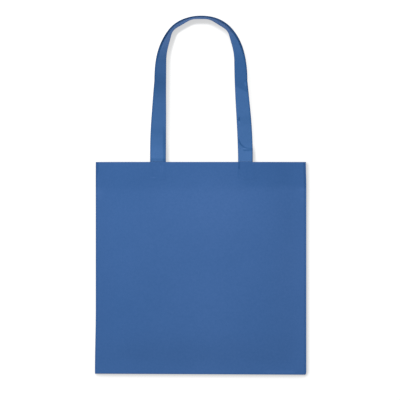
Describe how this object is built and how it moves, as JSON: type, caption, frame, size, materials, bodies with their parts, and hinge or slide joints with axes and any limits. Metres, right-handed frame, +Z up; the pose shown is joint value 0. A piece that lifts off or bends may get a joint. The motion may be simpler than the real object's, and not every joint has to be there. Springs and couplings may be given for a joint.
{
  "type": "non-woven shopping bag",
  "caption": "Flat blue non-woven shopping bag with a folded hem, welded sides and long strap handles, lying on its back panel.",
  "frame": {"origin": "middle of the back panel's underside, on the surface that the bag lies on", "axes": "+X across the bag to the right as the picture shows it, +Y from the bottom fold towards the mouth and handles, +Z up, out of the front panel"},
  "size_m": [0.38, 0.6456, 0.0303],
  "materials": {
    "body_cloth": "matt spun-bonded non-woven with fine embossed bonding points",
    "strap_cloth": "matt folded non-woven strap with pressed edges"
  },
  "bodies": {
    "root": {"bag_body": "body_cloth", "front_handle": "strap_cloth", "back_handle": "strap_cloth"}
  },
  "joints": []
}
